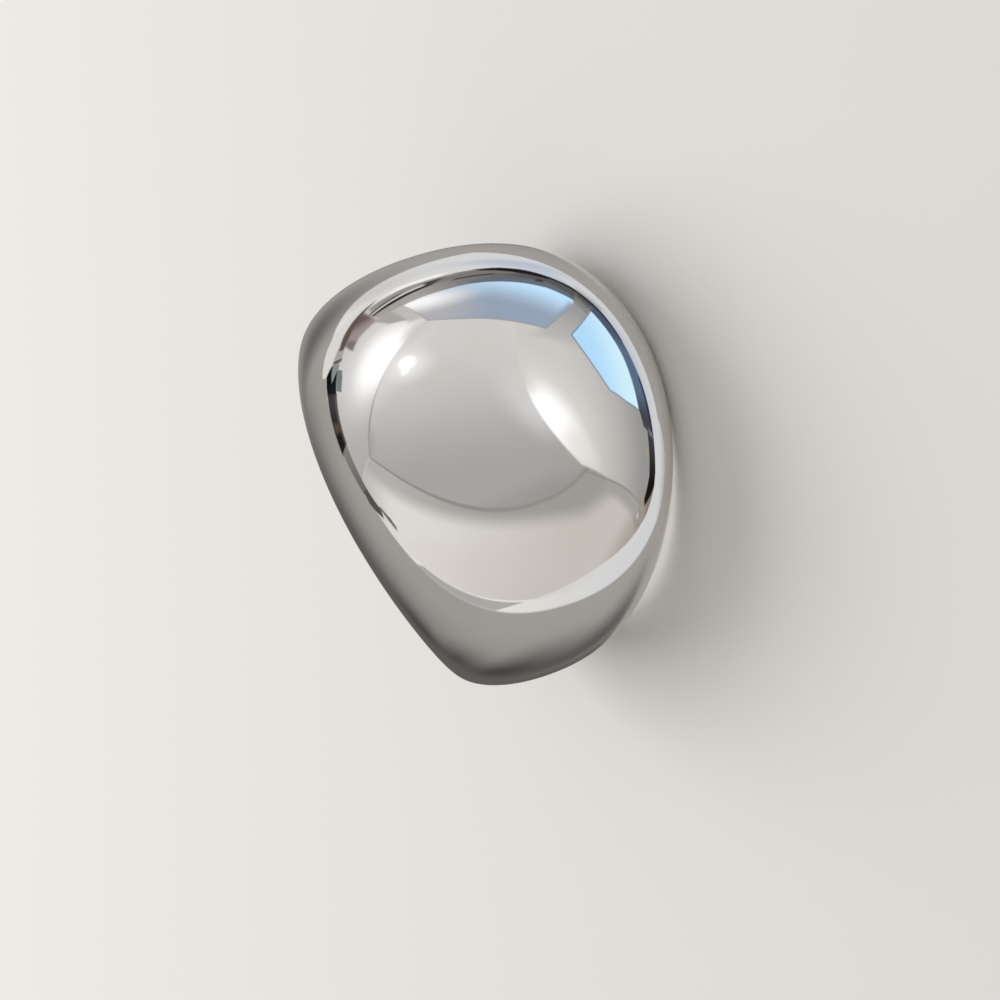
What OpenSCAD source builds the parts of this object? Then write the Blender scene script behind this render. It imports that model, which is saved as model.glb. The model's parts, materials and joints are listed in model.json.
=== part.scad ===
// One-piece domed ring. The band is narrow and thin at the back and swells
// into a wide, high dome at the front. The bore is a plain round hole.
// The ring lies on its side, as it rests on a table: the rim of the dome and
// the edge of the back touch the table, so the bore leans a little.

/* [Bore] */
// Diameter of the hole that the finger goes through
bore_d = 17.3; // [15:0.1:21]
// Radius of the softened edge round both mouths of the bore
edge_r = 0.45; // [0.2:0.05:0.6]

/* [Dome] */
// Width of the ring along the finger, at the middle of the dome
dome_w = 18.4; // [14:0.1:20]
// Thickness of the metal at the top of the dome
dome_t = 5.0; // [3:0.1:6.5]

/* [Back] */
// Width of the band at the back, under the finger
back_w = 6.0; // [4:0.1:8]
// Thickness of the band at the back
back_t = 2.0; // [1.4:0.1:2.8]

/* [Form] */
// How fast the width falls from the dome to the back, 1 is evenly
width_fall = 1.55; // [1.2:0.05:2.2]
// How fast the thickness falls from the dome to the back, 1 is evenly
thick_fall = 2.0; // [1:0.05:3]
// Fullness of the section across its width, 2 is an ellipse
full_w = 2.1; // [1.8:0.05:2.6]
// Fullness of the section over its height, 2 is an ellipse
full_h = 2.0; // [1.7:0.05:2.5]

/* [Smoothness] */
// Sections round the ring
ring_n = 108; // [48:12:144]
// Flats over the crown of one section
crown_n = 32; // [16:2:40]

/* [Hidden] */
bore_r = bore_d / 2;
edge_n = 3;        // flats on each softened edge
edge_sweep = 60;   // degrees of the edge's arc that lie outside the bore
lip = 0.5;         // how far the swept wall reaches into the bore before it is drilled
drill_over = 2;    // how far the drill passes the dome at each end
tilt_lo = 0;       // least and most lean that the resting pose is looked for in
tilt_hi = 45;
halvings = 30;     // steps of that search

// Share of the dome's extra size that is left at angle a from the top of the dome
function swell(a, fall) = pow((1 + cos(a)) / 2, fall);
function half_w(a) = (back_w + (dome_w - back_w) * swell(a, width_fall)) / 2;
function wall_t(a) = back_t + (dome_t - back_t) * swell(a, thick_fall);

// A sine or cosine pushed out towards a fuller curve than the ellipse
function fuller(s, full) = sign(s) * pow(abs(s), 2 / full);

// Outline of the section at angle a, as [radius, place along the bore],
// from the lower edge of the bore over the crown to its upper edge
function edge_in(w, q) = [bore_r + edge_r * (1 - sin(q)), w - edge_r * (1 - cos(q))];
function lip_end(w) =
    let (p = edge_in(w, edge_sweep), run = p[0] - (bore_r - lip))
    [bore_r - lip, p[1] - run * tan(edge_sweep)];
function upper_edge(w) = concat(
    [for (j = [1 : edge_n]) edge_in(w, edge_sweep * j / edge_n)],
    [lip_end(w)]);
function lower_edge(w) = [for (j = [edge_n : -1 : 0]) let (p = upper_edge(w)[j]) [p[0], -p[1]]];
function crown(a) = [for (i = [0 : crown_n]) let (p = 180 * (1 - i / crown_n))
    [bore_r + edge_r + (wall_t(a) - edge_r) * fuller(sin(p), full_h),
     half_w(a) * fuller(cos(p), full_w)]];
function section(a) = concat(lower_edge(half_w(a)), crown(a), upper_edge(half_w(a)));

// The section's points in the ring, with the dome towards -Y and the bore along Z
function place(p, a) = [p[0] * sin(a), -p[0] * cos(a), p[1]];
function ring_section(a) = [for (p = section(a)) place(p, a)];

// The lean at which the dome's rim and the back's edge stand at one height
function lean_y(p, t) = p[1] * cos(t) + p[2] * sin(t);
function lean_z(p, t) = p[2] * cos(t) - p[1] * sin(t);
function lowest(a, t) = min([for (p = ring_section(a)) lean_z(p, t)]);
function rest_lean(lo, hi, n) =
    let (mid = (lo + hi) / 2)
    n == 0 ? mid
    : lowest(0, mid) < lowest(180, mid) ? rest_lean(mid, hi, n - 1)
    : rest_lean(lo, mid, n - 1);
lean = rest_lean(tilt_lo, tilt_hi, halvings);

section_n = len(section(0));
skin = [for (k = [0 : ring_n - 1]) each ring_section(360 * k / ring_n)];
far_y = [for (p = skin) lean_y(p, lean)];
mid_y = (min(far_y) + max(far_y)) / 2;
table_z = min([for (p = skin) lean_z(p, lean)]);

module swept_band() {
    corners = [for (k = [0 : ring_n - 1], i = [0 : section_n - 1])
        let (k2 = (k + 1) % ring_n, i2 = (i + 1) % section_n)
        [k * section_n + i, k * section_n + i2, k2 * section_n + i2, k2 * section_n + i]];
    polyhedron(points = skin, faces = corners, convexity = 6);
}

module ring_body() {
    color([0.86, 0.85, 0.84])
    translate([0, -mid_y, -table_z])
    rotate([-lean, 0, 0])
    difference() {
        swept_band();
        cylinder(r = bore_r, h = dome_w + 2 * drill_over, center = true, $fn = 128);
    }
}

ring_body();
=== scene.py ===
import json
from functools import reduce
from math import atan2, copysign, cos, hypot, pi, radians, sin

import bmesh
import bpy
from mathutils import Matrix, Vector


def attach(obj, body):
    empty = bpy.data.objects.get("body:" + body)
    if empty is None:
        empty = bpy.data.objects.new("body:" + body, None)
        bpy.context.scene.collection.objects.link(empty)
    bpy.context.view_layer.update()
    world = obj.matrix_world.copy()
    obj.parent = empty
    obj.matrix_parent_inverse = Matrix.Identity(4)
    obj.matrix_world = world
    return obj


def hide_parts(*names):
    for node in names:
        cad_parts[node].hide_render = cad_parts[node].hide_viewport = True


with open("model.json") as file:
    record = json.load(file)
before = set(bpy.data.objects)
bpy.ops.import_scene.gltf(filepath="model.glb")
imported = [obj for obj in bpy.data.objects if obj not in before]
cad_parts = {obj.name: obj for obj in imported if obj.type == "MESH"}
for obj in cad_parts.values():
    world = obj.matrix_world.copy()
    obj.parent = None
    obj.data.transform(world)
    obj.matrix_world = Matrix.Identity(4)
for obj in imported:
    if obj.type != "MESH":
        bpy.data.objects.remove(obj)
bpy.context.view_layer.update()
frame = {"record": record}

bore = next(mount for mount in frame["record"]["mounts"] if mount["name"] == "finger_bore")
boreCentre = Vector(bore["pos_m"])
boreRadius = bore["dims"]["r_mm"] / 1000
upBore = Vector(bore["axis"]).normalized()
acrossRing = Vector((1, 0, 0))
backOut = upBore.cross(acrossRing)  # from the bore out through the thin back
domeOut = -backOut                  # and out through the top of the dome
turnToWorld = Matrix((acrossRing, backOut, upBore)).transposed().to_4x4()
ringToWorld = Matrix.Translation(boreCentre) @ turnToWorld


class Wire:  # an output socket of a node tree, so that sums on it read as plain Python
    def __init__(self, tree, socket=None):
        self.tree = tree
        self.socket = socket

    def node(self, kind, settings=None, inputs=None, output=0):
        made = self.tree.nodes.new(kind)
        for name, value in (settings or {}).items():
            setattr(made, name, value)
        for name, value in (inputs or {}).items():
            if isinstance(value, Wire):
                self.tree.links.new(value.socket, made.inputs[name])
            else:
                made.inputs[name].default_value = value
        return Wire(self.tree, made.outputs[output])

    def maths(self, operation, *values):
        return self.node("ShaderNodeMath", {"operation": operation}, dict(enumerate((self,) + values)))

    def __add__(self, other):
        return self.maths("ADD", other)

    def __radd__(self, other):
        return self.maths("ADD", other)

    def __sub__(self, other):
        return self.maths("SUBTRACT", other)

    def __rsub__(self, other):
        return self.node("ShaderNodeMath", {"operation": "SUBTRACT"}, {0: other, 1: self})

    def __mul__(self, other):
        return self.maths("MULTIPLY", other)

    def __rmul__(self, other):
        return self.maths("MULTIPLY", other)

    def __truediv__(self, other):
        return self.maths("DIVIDE", other)

    def __abs__(self):
        return self.maths("ABSOLUTE")

    def least(self, other):
        return self.maths("MINIMUM", other)

    def most(self, other):
        return self.maths("MAXIMUM", other)

    def rise(self, low, high):  # 0 below low, 1 above high, smooth between
        return self.node(
            "ShaderNodeMapRange",
            {"interpolation_type": "SMOOTHSTEP"},
            {"Value": self, "From Min": low, "From Max": high, "To Min": 0.0, "To Max": 1.0},
        )

    def measure(self, operation, *others):  # a number worked out from vectors
        vectors = dict(enumerate((self,) + others))
        return self.node("ShaderNodeVectorMath", {"operation": operation}, vectors, "Value")

    def dot(self, direction):
        return self.measure("DOT_PRODUCT", direction)

    def distance(self, point):
        return self.measure("DISTANCE", point)

    def length(self):
        return self.measure("LENGTH")

    def part(self, axis):
        return self.node("ShaderNodeSeparateXYZ", None, {"Vector": self}, axis)

    def vector(self, x, y, z):
        return self.node("ShaderNodeCombineXYZ", None, {"X": x, "Y": y, "Z": z})

    def blend(self, first, second):  # the colour first where this is 0, second where it is 1
        return self.node("ShaderNodeMix", {"data_type": "RGBA"}, {"Factor": self, 6: first, 7: second}, 2)


def linear(red, green, blue):  # a screen colour, 0 to 255, as light, by the sRGB curve
    shares = [value / 255 for value in (red, green, blue)]
    return tuple(((s + 0.055) / 1.055) ** 2.4 if s > 0.04 else s / 12.92 for s in shares) + (1,)


def meshObject(name, bm):
    mesh = bpy.data.meshes.new(name)
    bm.to_mesh(mesh)
    bm.free()
    made = bpy.data.objects.new(name, mesh)
    bpy.context.scene.collection.objects.link(made)
    return made


# The ring

ringShape = {
    "domeWidth": 0.0184, "domeThick": 0.0050,      # at the middle of the front
    "backWidth": 0.0060, "backThick": 0.0020,      # at the middle of the back
    "widthFall": 1.55, "thickFall": 2.0,           # how fast the dome's size falls away to the back
    "fullAcross": 2.1, "fullHigh": 2.0,            # section's fullness, 2 is an ellipse
    "edgeRadius": 0.00045,                         # both mouths of the bore
    "stepsRound": 192, "crownSteps": 56, "edgeSteps": 5, "boreSteps": 6,
    "smoothing": 1,
    "satinReach": 0.2,                             # share of that edge that is satin, like the bore
}

# The ring starts as a plain round band. Its section is a half circle of radius 1 on a thin wall,
# and the two edges of the wall are rounded over its whole thickness
plainBand = {"radius": 4.0, "wall": 0.1, "mergeWithin": 1e-5}


def swelling(back, dome, fall, angle):  # a size of the band, at this angle round from the front
    return back + (dome - back) * ((1 + cos(angle)) / 2) ** fall


def bandPoint(x, y, z):  # where a point of the plain band lies on the ring
    shape, plainEdge = ringShape, plainBand["wall"]
    angle = atan2(x, -y)
    halfWidth = swelling(shape["backWidth"], shape["domeWidth"], shape["widthFall"], angle) / 2
    thick = swelling(shape["backThick"], shape["domeThick"], shape["thickFall"], angle)
    rise = hypot(x, y) - plainBand["radius"]
    edge = shape["edgeRadius"]
    if rise >= 0:
        radius = boreRadius + edge + (thick - edge) * rise ** (2 / shape["fullHigh"])
        place = halfWidth * copysign(abs(z) ** (2 / shape["fullAcross"]), z)
    else:
        radius = boreRadius + edge + rise / plainEdge * edge
        flat = 1 - plainEdge
        if abs(z) > flat:
            place = copysign(halfWidth - (1 - abs(z)) / plainEdge * edge, z)
        else:
            place = z / flat * (halfWidth - edge)
    return radius * sin(angle), -radius * cos(angle), place


def drawArc(bm, start, centreHeight, angle, steps):  # in the band's section, and returns its last point
    arc = bmesh.ops.spin(
        bm, geom=[start], cent=(0, -plainBand["radius"], centreHeight), axis=(1, 0, 0), dvec=(0, 0, 0),
        angle=angle, steps=steps, use_merge=False, use_duplicate=False,
    )
    return arc["geom_last"][0]


def buildRing():
    shape, plainEdge = ringShape, plainBand["wall"]
    bm = bmesh.new()
    start = bmesh.ops.create_vert(bm, co=(0, -plainBand["radius"], 1))["vert"][0]
    crownEnd = drawArc(bm, start, 0, pi, shape["crownSteps"])
    lowEnd = drawArc(bm, crownEnd, plainEdge - 1, pi / 2, shape["edgeSteps"])
    highEnd = drawArc(bm, start, 1 - plainEdge, -pi / 2, shape["edgeSteps"])
    wall = bm.edges.new((lowEnd, highEnd))
    bmesh.ops.subdivide_edges(bm, edges=[wall], cuts=shape["boreSteps"] - 1)
    bmesh.ops.spin(
        bm, geom=bm.verts[:] + bm.edges[:], cent=(0, 0, 0), axis=(0, 0, 1), dvec=(0, 0, 0),
        angle=2 * pi, steps=shape["stepsRound"], use_merge=True, use_duplicate=False,
    )
    bmesh.ops.remove_doubles(bm, verts=bm.verts, dist=plainBand["mergeWithin"])
    for vert in bm.verts:
        vert.co = bandPoint(*vert.co)
    bmesh.ops.recalc_face_normals(bm, faces=bm.faces)
    inBore = boreRadius + shape["edgeRadius"] * shape["satinReach"]
    for face in bm.faces:
        face.smooth = True
        face.material_index = 1 if max(hypot(v.co.x, v.co.y) for v in face.verts) < inBore else 0
    bmesh.ops.transform(bm, matrix=ringToWorld, verts=bm.verts)
    ring = meshObject("silver_ring", bm)
    smooth = ring.modifiers.new("smooth", "SUBSURF")
    smooth.levels = smooth.render_levels = shape["smoothing"]
    print("ring built,", len(ring.data.polygons), "faces before smoothing")
    return ring


polish = {
    "colour": linear(247, 245, 241), "tint": linear(243, 240, 235),  # clean metal, and its faintest haze
    "roughness": 0.03, "haze": 0.025,      # where it is cleanest, and what wear adds
    "hazeSize": 0.006, "waveSize": 0.005,  # metres across one cloud of haze, and one wave of the polish
    "hazeRange": (0.42, 0.72),             # of the noise: clean below it, and hazed in full above it
    "wornRange": (0.5, 0.75),              # the same for the patches that have fine scratches
    "waves": 0.0000022,                    # height of the polish's waves, in metres
    "scratches": 0.0000002,                # depth of a fine scratch
    "hairlines": 0.05,                     # roughness that a fine scratch adds
    "hairlineShare": 0.012,                # how much of the noise round its middle is a scratch
    "hairlineRuns": [                      # turn of each set in degrees, and its lines' length and gap
        ((20, 35, 15), 0.009, 0.0007),
        ((-50, 10, 70), 0.006, 0.0005),
    ],
}

satin = {
    "colour": linear(246, 245, 243), "dull": linear(240, 238, 235),
    "roughness": 0.2, "lines": 0.14,       # the least, and what the turned lines add
    "lineWidth": 0.00011, "lineLength": 0.05,
    "depth": 0.000004,                     # of the turned lines, in metres
    "dullSize": 0.004, "dullRange": (0.35, 0.75), "dullRoughness": 0.06,
}


def metalSurface(name):
    material = bpy.data.materials.new(name)
    material.use_nodes = True
    surface = material.node_tree.nodes["Principled BSDF"]
    surface.inputs["Metallic"].default_value = 1.0
    return material, surface, Wire(material.node_tree)


def feed(surface, values):
    for name, wire in values.items():
        wire.tree.links.new(wire.socket, surface.inputs[name])


def ringPlaces(start):  # metres from the bore's centre, with the bore along z
    place = start.node("ShaderNodeTexCoord", output="Object")
    lean = atan2(upBore.y, upBore.z)
    return start.node(
        "ShaderNodeMapping",
        {"vector_type": "TEXTURE"},
        {"Vector": place, "Location": boreCentre, "Rotation": (-lean, 0, 0)},
    )


def clouds(place, size, detail=2.0):  # soft noise with features about this many metres across
    return place.node("ShaderNodeTexNoise", None, {"Vector": place, "Scale": 1 / size, "Detail": detail})


def hairlines(place, turn, length, gap):  # long fine lines, 1 on a line and 0 between them
    along = place.node(
        "ShaderNodeMapping",
        {"vector_type": "TEXTURE"},
        {"Vector": place, "Rotation": [radians(angle) for angle in turn], "Scale": (length, gap, gap)},
    )
    value = place.node("ShaderNodeTexNoise", None, {"Vector": along, "Scale": 1.0, "Detail": 1.0})
    return 1 - abs(value - 0.5).rise(0.0, polish["hairlineShare"])


def bump(height):  # from a height in metres
    return height.node("ShaderNodeBump", None, {"Height": height, "Distance": 1.0})


def polishedSilver():
    material, surface, start = metalSurface("polished_silver")
    place = ringPlaces(start)
    haze = clouds(place, polish["hazeSize"], 4.0).rise(*polish["hazeRange"])
    worn = clouds(place, polish["hazeSize"] / 2).rise(*polish["wornRange"])
    lines = reduce(Wire.most, [hairlines(place, *run) for run in polish["hairlineRuns"]]) * worn
    waves = clouds(place, polish["waveSize"], 0.0)
    rough = haze * polish["haze"] + lines * polish["hairlines"] + polish["roughness"]
    height = waves * polish["waves"] - lines * polish["scratches"]
    feed(surface, {
        "Base Color": haze.blend(polish["colour"], polish["tint"]),
        "Roughness": rough,
        "Normal": bump(height),
    })
    return material


def satinSilver():
    material, surface, start = metalSurface("satin_silver")
    place = ringPlaces(start)
    angle = place.part("Y").maths("ARCTAN2", place.part("X"))
    alongLine = angle * (boreRadius / satin["lineLength"])
    turned = start.vector(alongLine, place.part("Z") / satin["lineWidth"], 0.0)
    lines = start.node("ShaderNodeTexNoise", None, {"Vector": turned, "Scale": 1.0, "Detail": 3.0})
    dull = clouds(place, satin["dullSize"], 3.0).rise(*satin["dullRange"])
    feed(surface, {
        "Base Color": dull.blend(satin["colour"], satin["dull"]),
        "Roughness": lines * satin["lines"] + dull * satin["dullRoughness"] + satin["roughness"],
        "Normal": bump(lines * satin["depth"]),
    })
    return material


ring = buildRing()
ring.data.materials.append(polishedSilver())
ring.data.materials.append(satinSilver())
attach(ring, "root")
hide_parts("ring_body")


# The camera, at the photograph's angle to the ring

cameraPlace = {
    "lean": 19.35,       # degrees from the dome's top towards the near side
    "side": 11.2,        # degrees towards the side of the ring that is up here
    "roll": -21.55,      # degrees that the bore's line climbs in the picture
    "distance": 0.265,   # metres from the middle of the picture
    "across": 0.053, "pixels": 1000,  # width of the picture at the ring, in metres and in pixels
    "sensor": 36,        # millimetres wide
    "offRight": 25, "offDown": 21,    # pixels from the bore's centre to the picture's centre
    "clip": (0.01, 20),  # the nearest and the farthest that it sees, in metres
}


def placeCamera():
    view = cameraPlace
    lean, side, roll = (radians(view[name]) for name in ("lean", "side", "roll"))
    toCamera = upBore * sin(side) - acrossRing * sin(lean) * cos(side) + domeOut * cos(lean) * cos(side)
    alongBore = acrossRing.cross(toCamera).normalized()
    away = toCamera.cross(alongBore)
    right = alongBore * cos(roll) + away * sin(roll)
    up = away * cos(roll) - alongBore * sin(roll)
    pixel = view["across"] / view["pixels"]
    aim = boreCentre + right * view["offRight"] * pixel - up * view["offDown"] * pixel
    camera = bpy.data.objects.new("camera", bpy.data.cameras.new("camera"))
    turned = Matrix((right, up, toCamera)).transposed().to_4x4()
    camera.matrix_world = Matrix.Translation(aim + toCamera * view["distance"]) @ turned
    camera.data.sensor_width = view["sensor"]
    camera.data.lens = view["sensor"] * view["distance"] / view["across"]
    camera.data.clip_start, camera.data.clip_end = view["clip"]
    bpy.context.scene.collection.objects.link(camera)
    bpy.context.scene.camera = camera
    print("camera placed,", round(view["distance"] * 1000), "mm away")
    return right


pictureRight = placeCamera()


# The studio that the ring mirrors. A place on its walls is in degrees from the middle of the room,
# which the dome faces: x to the picture's right, y to its top. Each panel lies over those before it.
# A panel lies inside all the outlines that it has, such as oval and corners. Its border is soft
# over that many degrees on both sides, and a seam is a thin line along it

def mirrored(red, green, blue, strength=1):  # the light that the silver shows as this screen colour
    seen = linear(red, green, blue)
    return tuple(strength * light / metal for light, metal in zip(seen, polish["colour"]))


def oval(x, y, long, short, turn):
    return {"centre": (x, y), "long": long, "short": short, "turn": turn}


def fade(start, end, first, second):  # a tone that changes from one place to another
    return {"start": start, "end": end, "first": mirrored(*first), "second": mirrored(*second)}


studio = {
    "turn": 9.2,                         # degrees from the top of the dome to the middle of the room
    "plain": linear(226, 223, 219),      # what the camera sees of it
    "fill": linear(200, 198, 195),       # its light on the floor
    "behind": mirrored(158, 154, 150), "farBehind": mirrored(92, 89, 87),
    "darkens": (-75, -5),                # degrees inside the table's edge, so these are beyond it
    "farEnd": (152, 174),                # degrees from the middle, over which every side turns to farBehind
}

tablePanels = [
    {"name": "table", "oval": oval(13.5, 9, 112, 96.5, -75), "disc": (-600, -480, 854), "soft": 0.7,
     "tone": fade((75, 45), (-60, -20), (207, 207, 208), (232, 229, 225))},
    {"name": "dark beyond the table, left", "oval": oval(-64, 110, 42, 13, 27), "soft": 12,
     "outside": "table", "tone": mirrored(104, 101, 98)},
    {"name": "dark beyond the table, right", "oval": oval(152, -28, 42, 24, 80), "soft": 20,
     "outside": "table", "tone": mirrored(90, 87, 84)},
    {"name": "dark beyond the table, low right", "oval": oval(129, -108, 80, 24, 50), "soft": 20,
     "outside": "table", "tone": mirrored(56, 54, 52)},
    {"name": "dark beyond the table, low", "oval": oval(30, -167, 85, 20, 10), "soft": 20,
     "outside": "table", "tone": mirrored(60, 58, 56)},
    {"name": "dark beyond the table, low left", "oval": oval(-85, -147, 80, 22, -30), "soft": 20,
     "outside": "table", "tone": mirrored(64, 62, 60)},
    {"name": "table's near corner", "soft": 0.7, "tone": mirrored(208, 208, 209),
     "corners": [(88, -8), (111, -8), (110.5, 4), (106, 17), (100, 23.5), (88, 28)]},
    {"name": "grey sheen", "oval": oval(-31, 107, 20, 6, 14), "soft": 5, "inside": "table",
     "tone": mirrored(203, 202, 199)},
    {"name": "blue sheen", "oval": oval(12, 100, 18, 4.5, -22), "soft": 3, "inside": "table",
     "tone": mirrored(184, 192, 206)},
    {"name": "right sheen", "oval": oval(57, 49, 30, 4, -54), "soft": 3.5, "inside": "table",
     "tone": mirrored(192, 198, 208)},
    {"name": "table's shade", "soft": 0.5, "inside": "table", "tone": mirrored(170, 167, 165),
     "corners": [(-31, -85), (46, -91), (25, -106), (10, -112), (-60, -108)]},
    {"name": "table's lip", "oval": oval(2, 0.5, 102.3, 86, -53), "soft": 0.4,
     "corners": [(-50, -60), (60, -60), (60, -120), (-50, -120)], "tone": mirrored(228, 226, 222)},
]

wallPanels = [
    {"name": "room", "oval": oval(2, 0.5, 101, 84.7, -53), "disc": (-302, -224, 449.5), "soft": 0.5,
     "tone": fade((-64, -24), (-57, 43), (176, 172, 169), (205, 202, 200))},
    {"name": "lower wall", "soft": 1.5, "inside": "room",
     "corners": [(-97, -64), (-57.5, -14), (130, -14), (130, -130), (-97, -130)],
     "tone": fade((-35, -52), (62, -54), (221, 217, 212), (197, 191, 185))},
    {"name": "lower wall's left end", "oval": oval(-90, -18, 44, 22, -50), "soft": 10,
     "inside": "lower wall", "tone": mirrored(189, 185, 182)},
    {"name": "lower wall's right end", "oval": oval(93, -40, 30, 16, 75), "soft": 8, "inside": "lower wall",
     "tone": mirrored(168, 162, 154)},
    {"name": "overhang", "disc": (7, 53, 106.2), "soft": 6, "inside": "lower wall",
     "corners": [(75.7, -10), (-11, -114), (-140, -114), (-140, -10)],
     "tone": fade((-45, -30), (20, -46), (178, 174, 171), (159, 156, 152))},
    {"name": "overhang's end", "corners": [(48, -22), (97, -22), (97, -36), (70, -35), (52, -33)], "soft": 3,
     "inside": "lower wall", "tone": mirrored(163, 159, 156)},
    {"name": "ceiling", "oval": oval(-71.6, 104.6, 175.5, 70.6, -56.4), "disc": (76, -28, 135), "soft": 0.4,
     "inside": "room", "tone": fade((1, -30), (-9, 47), (166, 163, 160), (207, 204, 201)),
     "seam": 0.9, "seamTone": mirrored(140, 136, 133)},
    {"name": "ceiling's low corner", "oval": oval(28, -37, 22, 6, 30), "soft": 8, "inside": "ceiling",
     "tone": mirrored(154, 150, 147)},
    {"name": "ceiling's left shade", "oval": oval(-56.5, -10, 9, 2.5, 80), "soft": 3, "inside": "ceiling",
     "tone": mirrored(166, 162, 160)},
    {"name": "ceiling by the key light", "oval": oval(9, 4, 14, 5, -56), "soft": 4.5, "inside": "ceiling",
     "tone": mirrored(208, 206, 204)},
    {"name": "right wall", "disc": (78.4, 41.2, 77.9), "soft": 0.6, "inside": "room",
     "corners": [(130, -27), (52, -27.2), (35, -23.6), (-20, 0), (-130, 130), (130, 130)],
     "tone": fade((17, 23), (58, 40), (203, 199, 195), (150, 148, 146))},
    {"name": "right wall's foot", "corners": [(36.5, -25.8), (50, -27.4), (50, -28.4), (36.5, -26.8)],
     "soft": 0.4, "inside": "room", "tone": mirrored(144, 141, 137)},
    {"name": "right wall's far foot", "corners": [(49, -27.2), (90, -27), (90, -28), (49, -28.2)],
     "soft": 0.4, "inside": "room", "tone": mirrored(146, 143, 139)},
]

lightPanels = [
    {"name": "key glow", "oval": oval(16, 3, 33, 10.5, -52), "soft": 8.5, "inside": "right wall",
     "tone": mirrored(216, 213, 209)},
    {"name": "key light", "oval": oval(14.8, -0.8, 19.5, 6.2, -50), "soft": 6.5, "inside": "right wall",
     "tone": mirrored(255, 254, 253, 1.25)},
    {"name": "key light's foot", "oval": oval(32, -15.5, 11, 4, -42), "soft": 4.5, "inside": "right wall",
     "tone": mirrored(231, 227, 223)},
    {"name": "haze over the key light", "oval": oval(2.5, 18.5, 9, 4, -66), "soft": 4, "inside": "room",
     "tone": mirrored(207, 204, 200)},
    {"name": "side glow", "oval": oval(-46.5, 44, 24, 11.5, 60), "soft": 11, "inside": "room",
     "outside": "ceiling", "tone": mirrored(236, 235, 234)},
    {"name": "side light", "oval": oval(-43.5, 46, 18.5, 8.8, 58), "soft": 7, "inside": "room",
     "outside": "ceiling", "tone": mirrored(255, 254, 253, 1.15)},
    {"name": "side glow on the ceiling", "oval": oval(-38, 42.5, 20, 7, 62), "soft": 7, "inside": "ceiling",
     "tone": mirrored(220, 217, 216)},
    {"name": "lamp's glow", "oval": oval(-33, 36, 8, 7, 80), "soft": 5.5, "inside": "room",
     "tone": mirrored(236, 234, 232)},
    {"name": "lamp", "oval": oval(-33.2, 37.8, 3.6, 2.9, 85), "soft": 1.8,
     "tone": mirrored(255, 255, 255, 1.3)},
    {"name": "second lamp", "oval": oval(-34.2, 32.8, 1.8, 1.2, 70), "soft": 1.4,
     "tone": mirrored(255, 255, 255, 1.2)},
]

windowPanels = [
    {"name": "window post", "corners": [(7, 43), (25, 37), (42, 71.5), (31, 81.5)], "soft": 3.5,
     "tone": fade((15.5, 38.5), (31, 67), (184, 181, 178), (150, 151, 151))},
    {"name": "haze by the far window", "oval": oval(-28, 57.5, 7, 3.5, 55), "soft": 3,
     "tone": mirrored(208, 204, 201)},
    {"name": "far window's left post", "corners": [(-38, 84), (-30, 83), (-25, 66), (-30, 65)], "soft": 1.8,
     "tone": mirrored(192, 188, 185)},
    {"name": "left pane", "corners": [(-42, 76), (-34.5, 80), (-30.5, 67.5), (-37, 69)], "soft": 0.8,
     "tone": mirrored(170, 166, 163)},
    {"name": "far window", "corners": [(-24.2, 63), (10.7, 47.1), (30, 74), (0, 96), (-34.5, 96)],
     "disc": (-9, 36, 49), "soft": 0.4,
     "tone": fade((3, 60), (15, 77), (149, 163, 182), (194, 228, 254)),
     "seam": 0.7, "seamTone": mirrored(150, 149, 150)},
    {"name": "far window's right reveal", "corners": [(9, 47), (13.5, 47), (27, 66), (23, 68)], "soft": 2,
     "inside": "far window", "tone": mirrored(147, 160, 176)},
    {"name": "far window's haze", "oval": oval(-23, 69, 13, 9, -60), "soft": 8, "inside": "far window",
     "tone": mirrored(178, 176, 179)},
    {"name": "far window's glare", "oval": oval(-26, 79.5, 12, 6.5, -12), "soft": 5.5,
     "inside": "far window", "tone": mirrored(250, 249, 249)},
    {"name": "near window", "disc": (118.3, 93.5, 108.9), "soft": 0.4, "inside": "room",
     "corners": [(18.5, 40), (34.5, 66.8), (68, 50), (68, 15), (53, 14.4), (30, 18.5)],
     "tone": fade((28, 38), (50, 44), (178, 219, 250), (208, 240, 253)),
     "seam": 0.7, "seamTone": mirrored(120, 135, 150)},
]

# Along the edge of the room a place is in degrees round it from its top, to the left, and in from its edge

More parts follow.
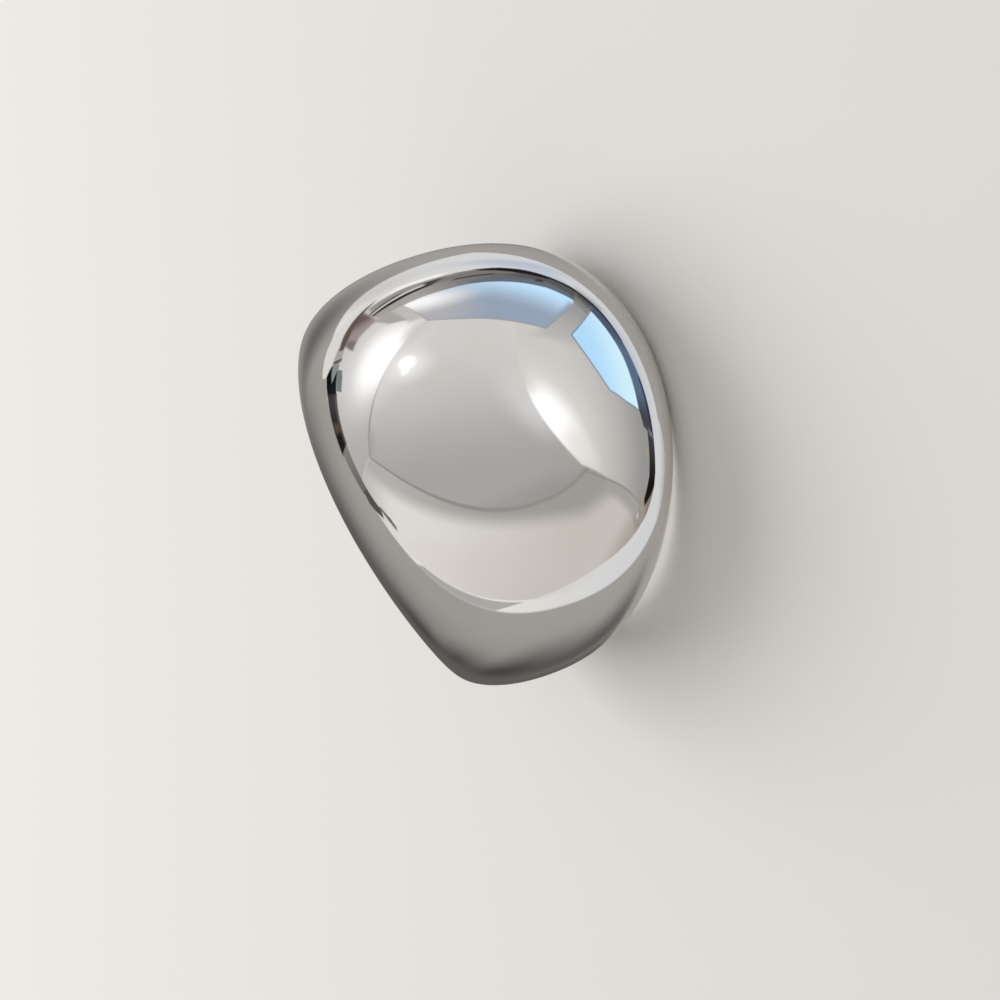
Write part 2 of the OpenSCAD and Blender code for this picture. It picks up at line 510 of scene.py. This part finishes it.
edgePanels = [
    {"name": "table by the right wall", "soft": 0.5, "tone": mirrored(212, 211, 208),
     "edge": [(-153, -1), (-145, 1.5), (-138, 3.3), (-130, 4), (-122, 3.1), (-110, 0.9), (-103, -1)]},
    {"name": "lintel", "edge": [(-20.5, -1), (6, -1.5), (6, 10.3), (-10, 12.2), (-20.5, 8.6)], "soft": 0.5,
     "tone": fade((6, 8), (-8, 8), (118, 116, 117), (88, 86, 88))},
    {"name": "lintel's light end", "edge": [(4, -1.5), (21, 0.6), (27, 5), (27, 11), (20, 11.4), (4, 10.2)],
     "soft": 0.5, "tone": fade((4, 8), (17, 8), (118, 116, 117), (165, 161, 157))},
    {"name": "lintel's sheen", "edge": [(-21, 6.6), (6, 8), (6, 10), (-10, 12), (-21, 8.5)], "soft": 1,
     "tone": mirrored(100, 108, 120)},
    {"name": "post's end", "edge": [(-27.5, -1), (-20.5, -0.5), (-20, 11), (-26.5, 11)], "soft": 0.8,
     "tone": fade((-24, 0), (-24, 10), (66, 66, 70), (139, 136, 132))},
    {"name": "right skirting", "edge": [(-83, 0), (-47, 0), (-47, 7.3), (-76, 12.8), (-83, 11.4)],
     "soft": 0.5, "tone": fade((-79, 7), (-66, 7), (66, 70, 82), (90, 108, 132))},
    {"name": "right skirting, far end", "edge": [(-50, 0), (-27, -1), (-27, 6.2), (-50, 7.9)], "soft": 0.5,
     "tone": fade((-48, 7), (-43, 1), (92, 112, 135), (76, 88, 112))},
    {"name": "right skirting's top", "edge": [(-83, 0), (-60, 0), (-62, 2), (-83, 3.4)],
     "soft": 0.9, "tone": mirrored(44, 52, 64)},
    {"name": "right skirting's end", "edge": [(-83, 2), (-78, 2), (-77, 12), (-83, 11)],
     "soft": 0.8, "tone": mirrored(68, 68, 74)},
    {"name": "table's notch", "edge": [(-20, -1.5), (-12.5, 1.4), (-5, -1.5), (-12, -4)], "soft": 0.5,
     "tone": mirrored(192, 199, 212)},
    {"name": "lit side of the lintel", "edge": [(-5, 1.6), (2, 0), (9, 1), (9, 3.4), (-4, 3.4)], "soft": 0.8,
     "tone": mirrored(124, 119, 115)},
    {"name": "lintel's edge, right end", "soft": 0.5, "tone": mirrored(34, 34, 40),
     "edge": [(-45, -0.6), (-32, -1.4), (-19.5, -0.4), (-19.5, 1), (-44, 0.4)]},
    {"name": "lintel's edge, right", "edge": [(-20.5, -0.4), (-12, 1.8), (-10, 3.6), (-20, 1)], "soft": 0.4,
     "tone": mirrored(30, 28, 31)},
    {"name": "lintel's edge, middle", "soft": 0.5, "tone": mirrored(30, 27, 31),
     "edge": [(-12.5, 1.9), (-2, -2), (3, -2), (2, 0), (-4, 2.4), (-9, 3.8), (-12, 3.8)]},
    {"name": "lintel's shade", "edge": [(0, 3.6), (7.5, 3.7), (8, 4.7), (1, 4.6)], "soft": 0.5,
     "tone": mirrored(50, 48, 48)},
    {"name": "lintel's lower shade", "edge": [(-10.5, 6.2), (-8.5, 6), (-8, 8.5), (-10, 8.5)], "soft": 0.7,
     "tone": mirrored(64, 60, 64)},
    {"name": "shelf's top", "edge": [(3, -1), (14, -1.4), (24, 0.6), (25, 3.5), (12, 1)], "soft": 0.8,
     "tone": mirrored(150, 145, 142)},
    {"name": "upper slot", "edge": [(15, 1.7), (18, 2), (26, 4.6), (25.5, 5.4), (18, 3.2)], "soft": 0.4,
     "tone": mirrored(52, 49, 47)},
    {"name": "shelf's face", "edge": [(11.5, 1.6), (15, 2.2), (26, 5.6), (26, 6.8), (12, 3.2)], "soft": 0.5,
     "tone": mirrored(208, 204, 200)},
    {"name": "lower slot", "edge": [(10.4, 2.2), (26.6, 6.6), (26.6, 7.7), (20, 6.7), (11, 3.9)],
     "soft": 0.4, "tone": mirrored(30, 28, 28)},
    {"name": "slots' end", "edge": [(8, 0), (11.5, 0.4), (11.8, 3.4), (10, 3)], "soft": 0.5,
     "tone": mirrored(70, 66, 64)},
    {"name": "table's shine", "edge": [(6.5, -4.1), (14, -4.2), (19, -2), (8, -1.7)], "soft": 0.6,
     "tone": mirrored(244, 242, 240)},
    {"name": "screen", "edge": [(25.5, 0.5), (31, 2.2), (41, 7), (42, 12.5), (35, 12.3), (28, 11.5)],
     "soft": 0.9, "tone": fade((33, 2), (36, 9), (106, 93, 88), (156, 143, 142))},
    {"name": "screen's end", "edge": [(38.8, 8), (41.5, 8.4), (42.8, 12), (43, 14.3), (38, 12.6)],
     "soft": 0.9, "tone": mirrored(124, 115, 111)},
    {"name": "gap by the screen", "edge": [(42.5, 4.6), (50, 4.4), (49, 10), (43.5, 9)], "soft": 0.7,
     "tone": mirrored(168, 162, 158)},
    {"name": "table by the screen", "soft": 0.5, "tone": mirrored(217, 215, 212),
     "edge": [(21, -3.6), (28, 0.4), (35, 2.7), (42, 3.9), (50.5, 4.2), (57, -0.2), (57, -4)]},
    {"name": "screen's frame", "soft": 0.6, "tone": mirrored(94, 80, 74),
     "edge": [(20.3, -2.5), (23, -1.6), (38, 3.4), (44, 5.8), (43, 8.4), (37.5, 7), (21.6, -1.2)]},
    {"name": "door's hinge side", "edge": [(49.2, 4.6), (50.5, 4.4), (50, 8), (48.5, 10), (47, 10)],
     "soft": 0.35, "tone": mirrored(92, 90, 89)},
    {"name": "door", "edge": [(50.8, 4.2), (56.5, 0.2), (66.5, 0.4), (66.5, 9.6), (53, 9.4)], "soft": 0.5,
     "tone": fade((58, 2), (64, 8), (16, 14, 15), (30, 31, 35))},
    {"name": "door's lit edge", "soft": 0.5, "tone": mirrored(138, 139, 140),
     "edge": [(50.4, 5), (54, 4.6), (59.8, 5.2), (58, 6.8), (52.4, 9.6), (50, 9.6)]},
    {"name": "cupboard", "edge": [(53, 9.2), (64, 9.8), (64.6, 13.9), (57, 13.8), (53.2, 12.6)], "soft": 0.4,
     "tone": mirrored(118, 122, 123)},
    {"name": "left skirting", "soft": 0.5, "tone": fade((68, 4), (92, 3), (60, 57, 58), (32, 27, 27)),
     "edge": [(65.5, 0.8), (97, -2), (94.9, 3), (92.6, 7.8), (80, 8.7), (65.5, 9.5)]},
    {"name": "brown patch", "edge": [(80, 0.5), (86, 0.5), (85, 6.5), (81, 6.5)], "soft": 1.2,
     "tone": mirrored(82, 72, 62)},
    {"name": "left skirting's foot", "edge": [(66, 7.2), (92.5, 6.2), (92, 8.2), (66, 9.8)], "soft": 1,
     "tone": mirrored(80, 78, 82)},
    {"name": "grey skirting", "edge": [(96, -0.8), (119, -0.8), (119, 5.5), (110, 6.4), (93, 7.6)],
     "soft": 0.5, "tone": fade((95, 5), (117, 5), (126, 122, 120), (108, 103, 99))},
    {"name": "dark skirting", "soft": 0.5, "tone": mirrored(82, 77, 72),
     "edge": [(118, 0.6), (124, -1.2), (129, 0), (135, 2.4), (131.5, 5.6), (118, 5.4)]},
    {"name": "skirting's end", "edge": [(129, 5.6), (144.5, 4.8), (143, 7), (138, 7.9), (130, 6.8)],
     "soft": 0.6, "tone": mirrored(108, 101, 96)},
    {"name": "chest", "edge": [(-114, 9.5), (-114, 2), (-103, -0.2), (-103, 8)], "soft": 0.8,
     "tone": mirrored(156, 146, 139)},
    {"name": "chest's top", "edge": [(-107, 0.4), (-99, -0.2), (-98, 1.8), (-104, 4.6)],
     "soft": 0.6, "tone": mirrored(142, 120, 112)},
    {"name": "chest's knob", "edge": [(-112, 6.4), (-110.8, 6.4), (-110.8, 8), (-112, 8)], "soft": 0.7,
     "tone": mirrored(204, 200, 195)},
    {"name": "right door", "soft": 0.5, "tone": fade((-97, 3), (-86, 7), (26, 23, 23), (60, 59, 62)),
     "edge": [(-106, 5), (-98, 0.9), (-92, -0.8), (-83, 0), (-83, 7.8), (-97, 8.8), (-105, 7.6)]},
    {"name": "right door's edge", "edge": [(-83.6, 1), (-82, 1), (-81.6, 6), (-84, 6)],
     "soft": 0.6, "tone": mirrored(112, 111, 112)},
    {"name": "red spot", "edge": [(-109, 10), (-106, 10), (-106, 12), (-109, 12)], "soft": 1,
     "tone": mirrored(168, 142, 137)},
    {"name": "green spot", "edge": [(-93, 9.5), (-90.5, 9.5), (-90.5, 13.5), (-93, 13.5)], "soft": 1.5,
     "tone": mirrored(158, 154, 136)},
]


def studioPlace(start):  # (x, y, 1) for the way a ray leaves, with 1 so that a line is one dot product
    turn = radians(studio["turn"])
    middle = domeOut * cos(turn) - upBore * sin(turn)
    right = (pictureRight - middle * pictureRight.dot(middle)).normalized()
    top = middle.cross(right)
    direction = start.node("ShaderNodeTexCoord", output="Generated")
    angle = direction.dot(middle).maths("ARCCOSINE") * (180 / pi)
    toRight, toTop = direction.dot(right), direction.dot(top)
    flat = start.vector(toRight, toTop, 0.0).length()
    return start.vector(angle * toRight / flat, angle * toTop / flat, 1.0)


def ovalDepth(place, oval):  # degrees inside an oval, less than 0 outside it
    c, s = cos(radians(oval["turn"])), sin(radians(oval["turn"]))
    (x, y), long, short = oval["centre"], oval["long"], oval["short"]
    along = place.dot((c / long, s / long, -(x * c + y * s) / long))
    across = place.dot((-s / short, c / short, (x * s - y * c) / short))
    return (1 - place.vector(along, across, 0.0).length()) * short


def discDepth(place, disc):  # the same for a disc
    x, y, radius = disc
    return radius - place.distance((x, y, 1))


def paneDepth(place, corners):  # the same for a pane with these corners
    sides = list(zip(corners, corners[1:] + corners[:1]))
    facing = copysign(1, sum(ax * by - bx * ay for (ax, ay), (bx, by) in sides))
    depths = []
    for (ax, ay), (bx, by) in sides:
        length = hypot(bx - ax, by - ay) * facing
        right, up = (bx - ax) / length, (by - ay) / length
        depths.append(place.dot((-up, right, ax * up - ay * right)))
    return reduce(Wire.least, depths)


def panelDepth(place, panel):  # the least of the depths in its outlines
    measures = {"oval": ovalDepth, "disc": discDepth, "corners": paneDepth, "edge": paneDepth}
    depths = [measure(place, panel[name]) for name, measure in measures.items() if name in panel]
    return reduce(Wire.least, depths)


def toneAt(place, tone):
    if isinstance(tone, tuple):
        return tone
    (ax, ay), (bx, by) = tone["start"], tone["end"]
    span = (bx - ax) ** 2 + (by - ay) ** 2
    right, up = (bx - ax) / span, (by - ay) / span
    return place.dot((right, up, -ax * right - ay * up)).rise(0, 1).blend(tone["first"], tone["second"])


def studioColour(start):
    place = studioPlace(start)
    table, room = tablePanels[0], wallPanels[0]
    degreesRound = (0 - place.part("X")).maths("ARCTAN2", place.part("Y")) * (180 / pi)
    edgePlace = start.vector(degreesRound, panelDepth(place, room), 1.0)
    nearTable = panelDepth(place, table).rise(*studio["darkens"])
    colour = nearTable.blend(studio["farBehind"], studio["behind"])
    masks = {}
    for panel in tablePanels + wallPanels + lightPanels + windowPanels + edgePanels:
        here = edgePlace if "edge" in panel else place
        depth = panelDepth(here, panel)
        bounds = [masks[panel["inside"]]] if "inside" in panel else []
        if "outside" in panel:
            bounds.append(1 - masks[panel["outside"]])
        mask = reduce(Wire.__mul__, bounds, depth.rise(-panel["soft"], panel["soft"]))
        colour = mask.blend(colour, toneAt(here, panel["tone"]))
        if "seam" in panel:
            line = reduce(Wire.__mul__, bounds, 1 - abs(depth).rise(0, panel["seam"]))
            colour = line.blend(colour, panel["seamTone"])
        masks[panel["name"]] = mask
    atFarEnd = place.length().rise(*studio["farEnd"])
    return atFarEnd.blend(colour, studio["farBehind"])


def buildStudio():
    world = bpy.data.worlds.new("studio")
    world.use_nodes = True
    world.cycles.sampling_method = "NONE"  # its light is an even fill, which needs no map
    bpy.context.scene.world = world
    start = Wire(world.node_tree)
    mirrors = start.node("ShaderNodeLightPath", output="Is Glossy Ray")
    camera = start.node("ShaderNodeLightPath", output="Is Camera Ray")
    backdrop = camera.blend(studio["fill"], studio["plain"])
    plain = start.node("ShaderNodeBackground", None, {"Color": backdrop})
    room = start.node("ShaderNodeBackground", None, {"Color": studioColour(start)})
    seen = start.node("ShaderNodeMixShader", None, {0: mirrors, 1: plain, 2: room})
    world.node_tree.links.new(seen.socket, world.node_tree.nodes["World Output"].inputs["Surface"])
    print("studio made,", len(world.node_tree.nodes), "nodes")


buildStudio()


# The floor and its light

floorSheet = {
    "side": 6.0,
    "colour": linear(231, 229, 226),
    "roughness": 0.9,
    "mirroredTo": (0.0108, 0.012),      # metres from the middle, over which its mirror image fades out
}

softBoxes = [
    {"name": "overhead", "towards": (0.42, 0.5, 0.62), "away": 0.5, "side": 0.42, "power": 1.7},
]


def buildFloor():
    bm = bmesh.new()
    bmesh.ops.create_grid(bm, x_segments=1, y_segments=1, size=floorSheet["side"] / 2)
    floor = meshObject("floor", bm)
    material = bpy.data.materials.new("pale_floor")
    material.use_nodes = True
    tree = material.node_tree
    surface = tree.nodes["Principled BSDF"]
    surface.inputs["Base Color"].default_value = floorSheet["colour"]
    surface.inputs["Roughness"].default_value = floorSheet["roughness"]
    surface.inputs["Specular IOR Level"].default_value = 0.0
    start = Wire(tree)
    farOut = start.node("ShaderNodeTexCoord", output="Object").length().rise(*floorSheet["mirroredTo"])
    mirrors = start.node("ShaderNodeLightPath", output="Is Glossy Ray")
    clear = start.node("ShaderNodeBsdfTransparent")
    mixed = start.node("ShaderNodeMixShader", None, {0: mirrors * farOut, 2: clear})
    tree.links.new(surface.outputs["BSDF"], mixed.socket.node.inputs[1])
    tree.links.new(mixed.socket, tree.nodes["Material Output"].inputs["Surface"])
    floor.data.materials.append(material)


def hangSoftBoxes():
    for box in softBoxes:
        light = bpy.data.lights.new(box["name"], "AREA")
        light.shape, light.size, light.energy = "SQUARE", box["side"], box["power"]
        lamp = bpy.data.objects.new(box["name"], light)
        towards = Vector(box["towards"]).normalized()
        turned = towards.to_track_quat("Z", "Y").to_matrix().to_4x4()
        lamp.matrix_world = Matrix.Translation(towards * box["away"]) @ turned
        lamp.visible_glossy = lamp.visible_camera = False
        bpy.context.scene.collection.objects.link(lamp)


buildFloor()
hangSoftBoxes()
bpy.context.scene.view_settings.view_transform = "Standard"
print("floor laid,", len(softBoxes), "soft boxes hung")
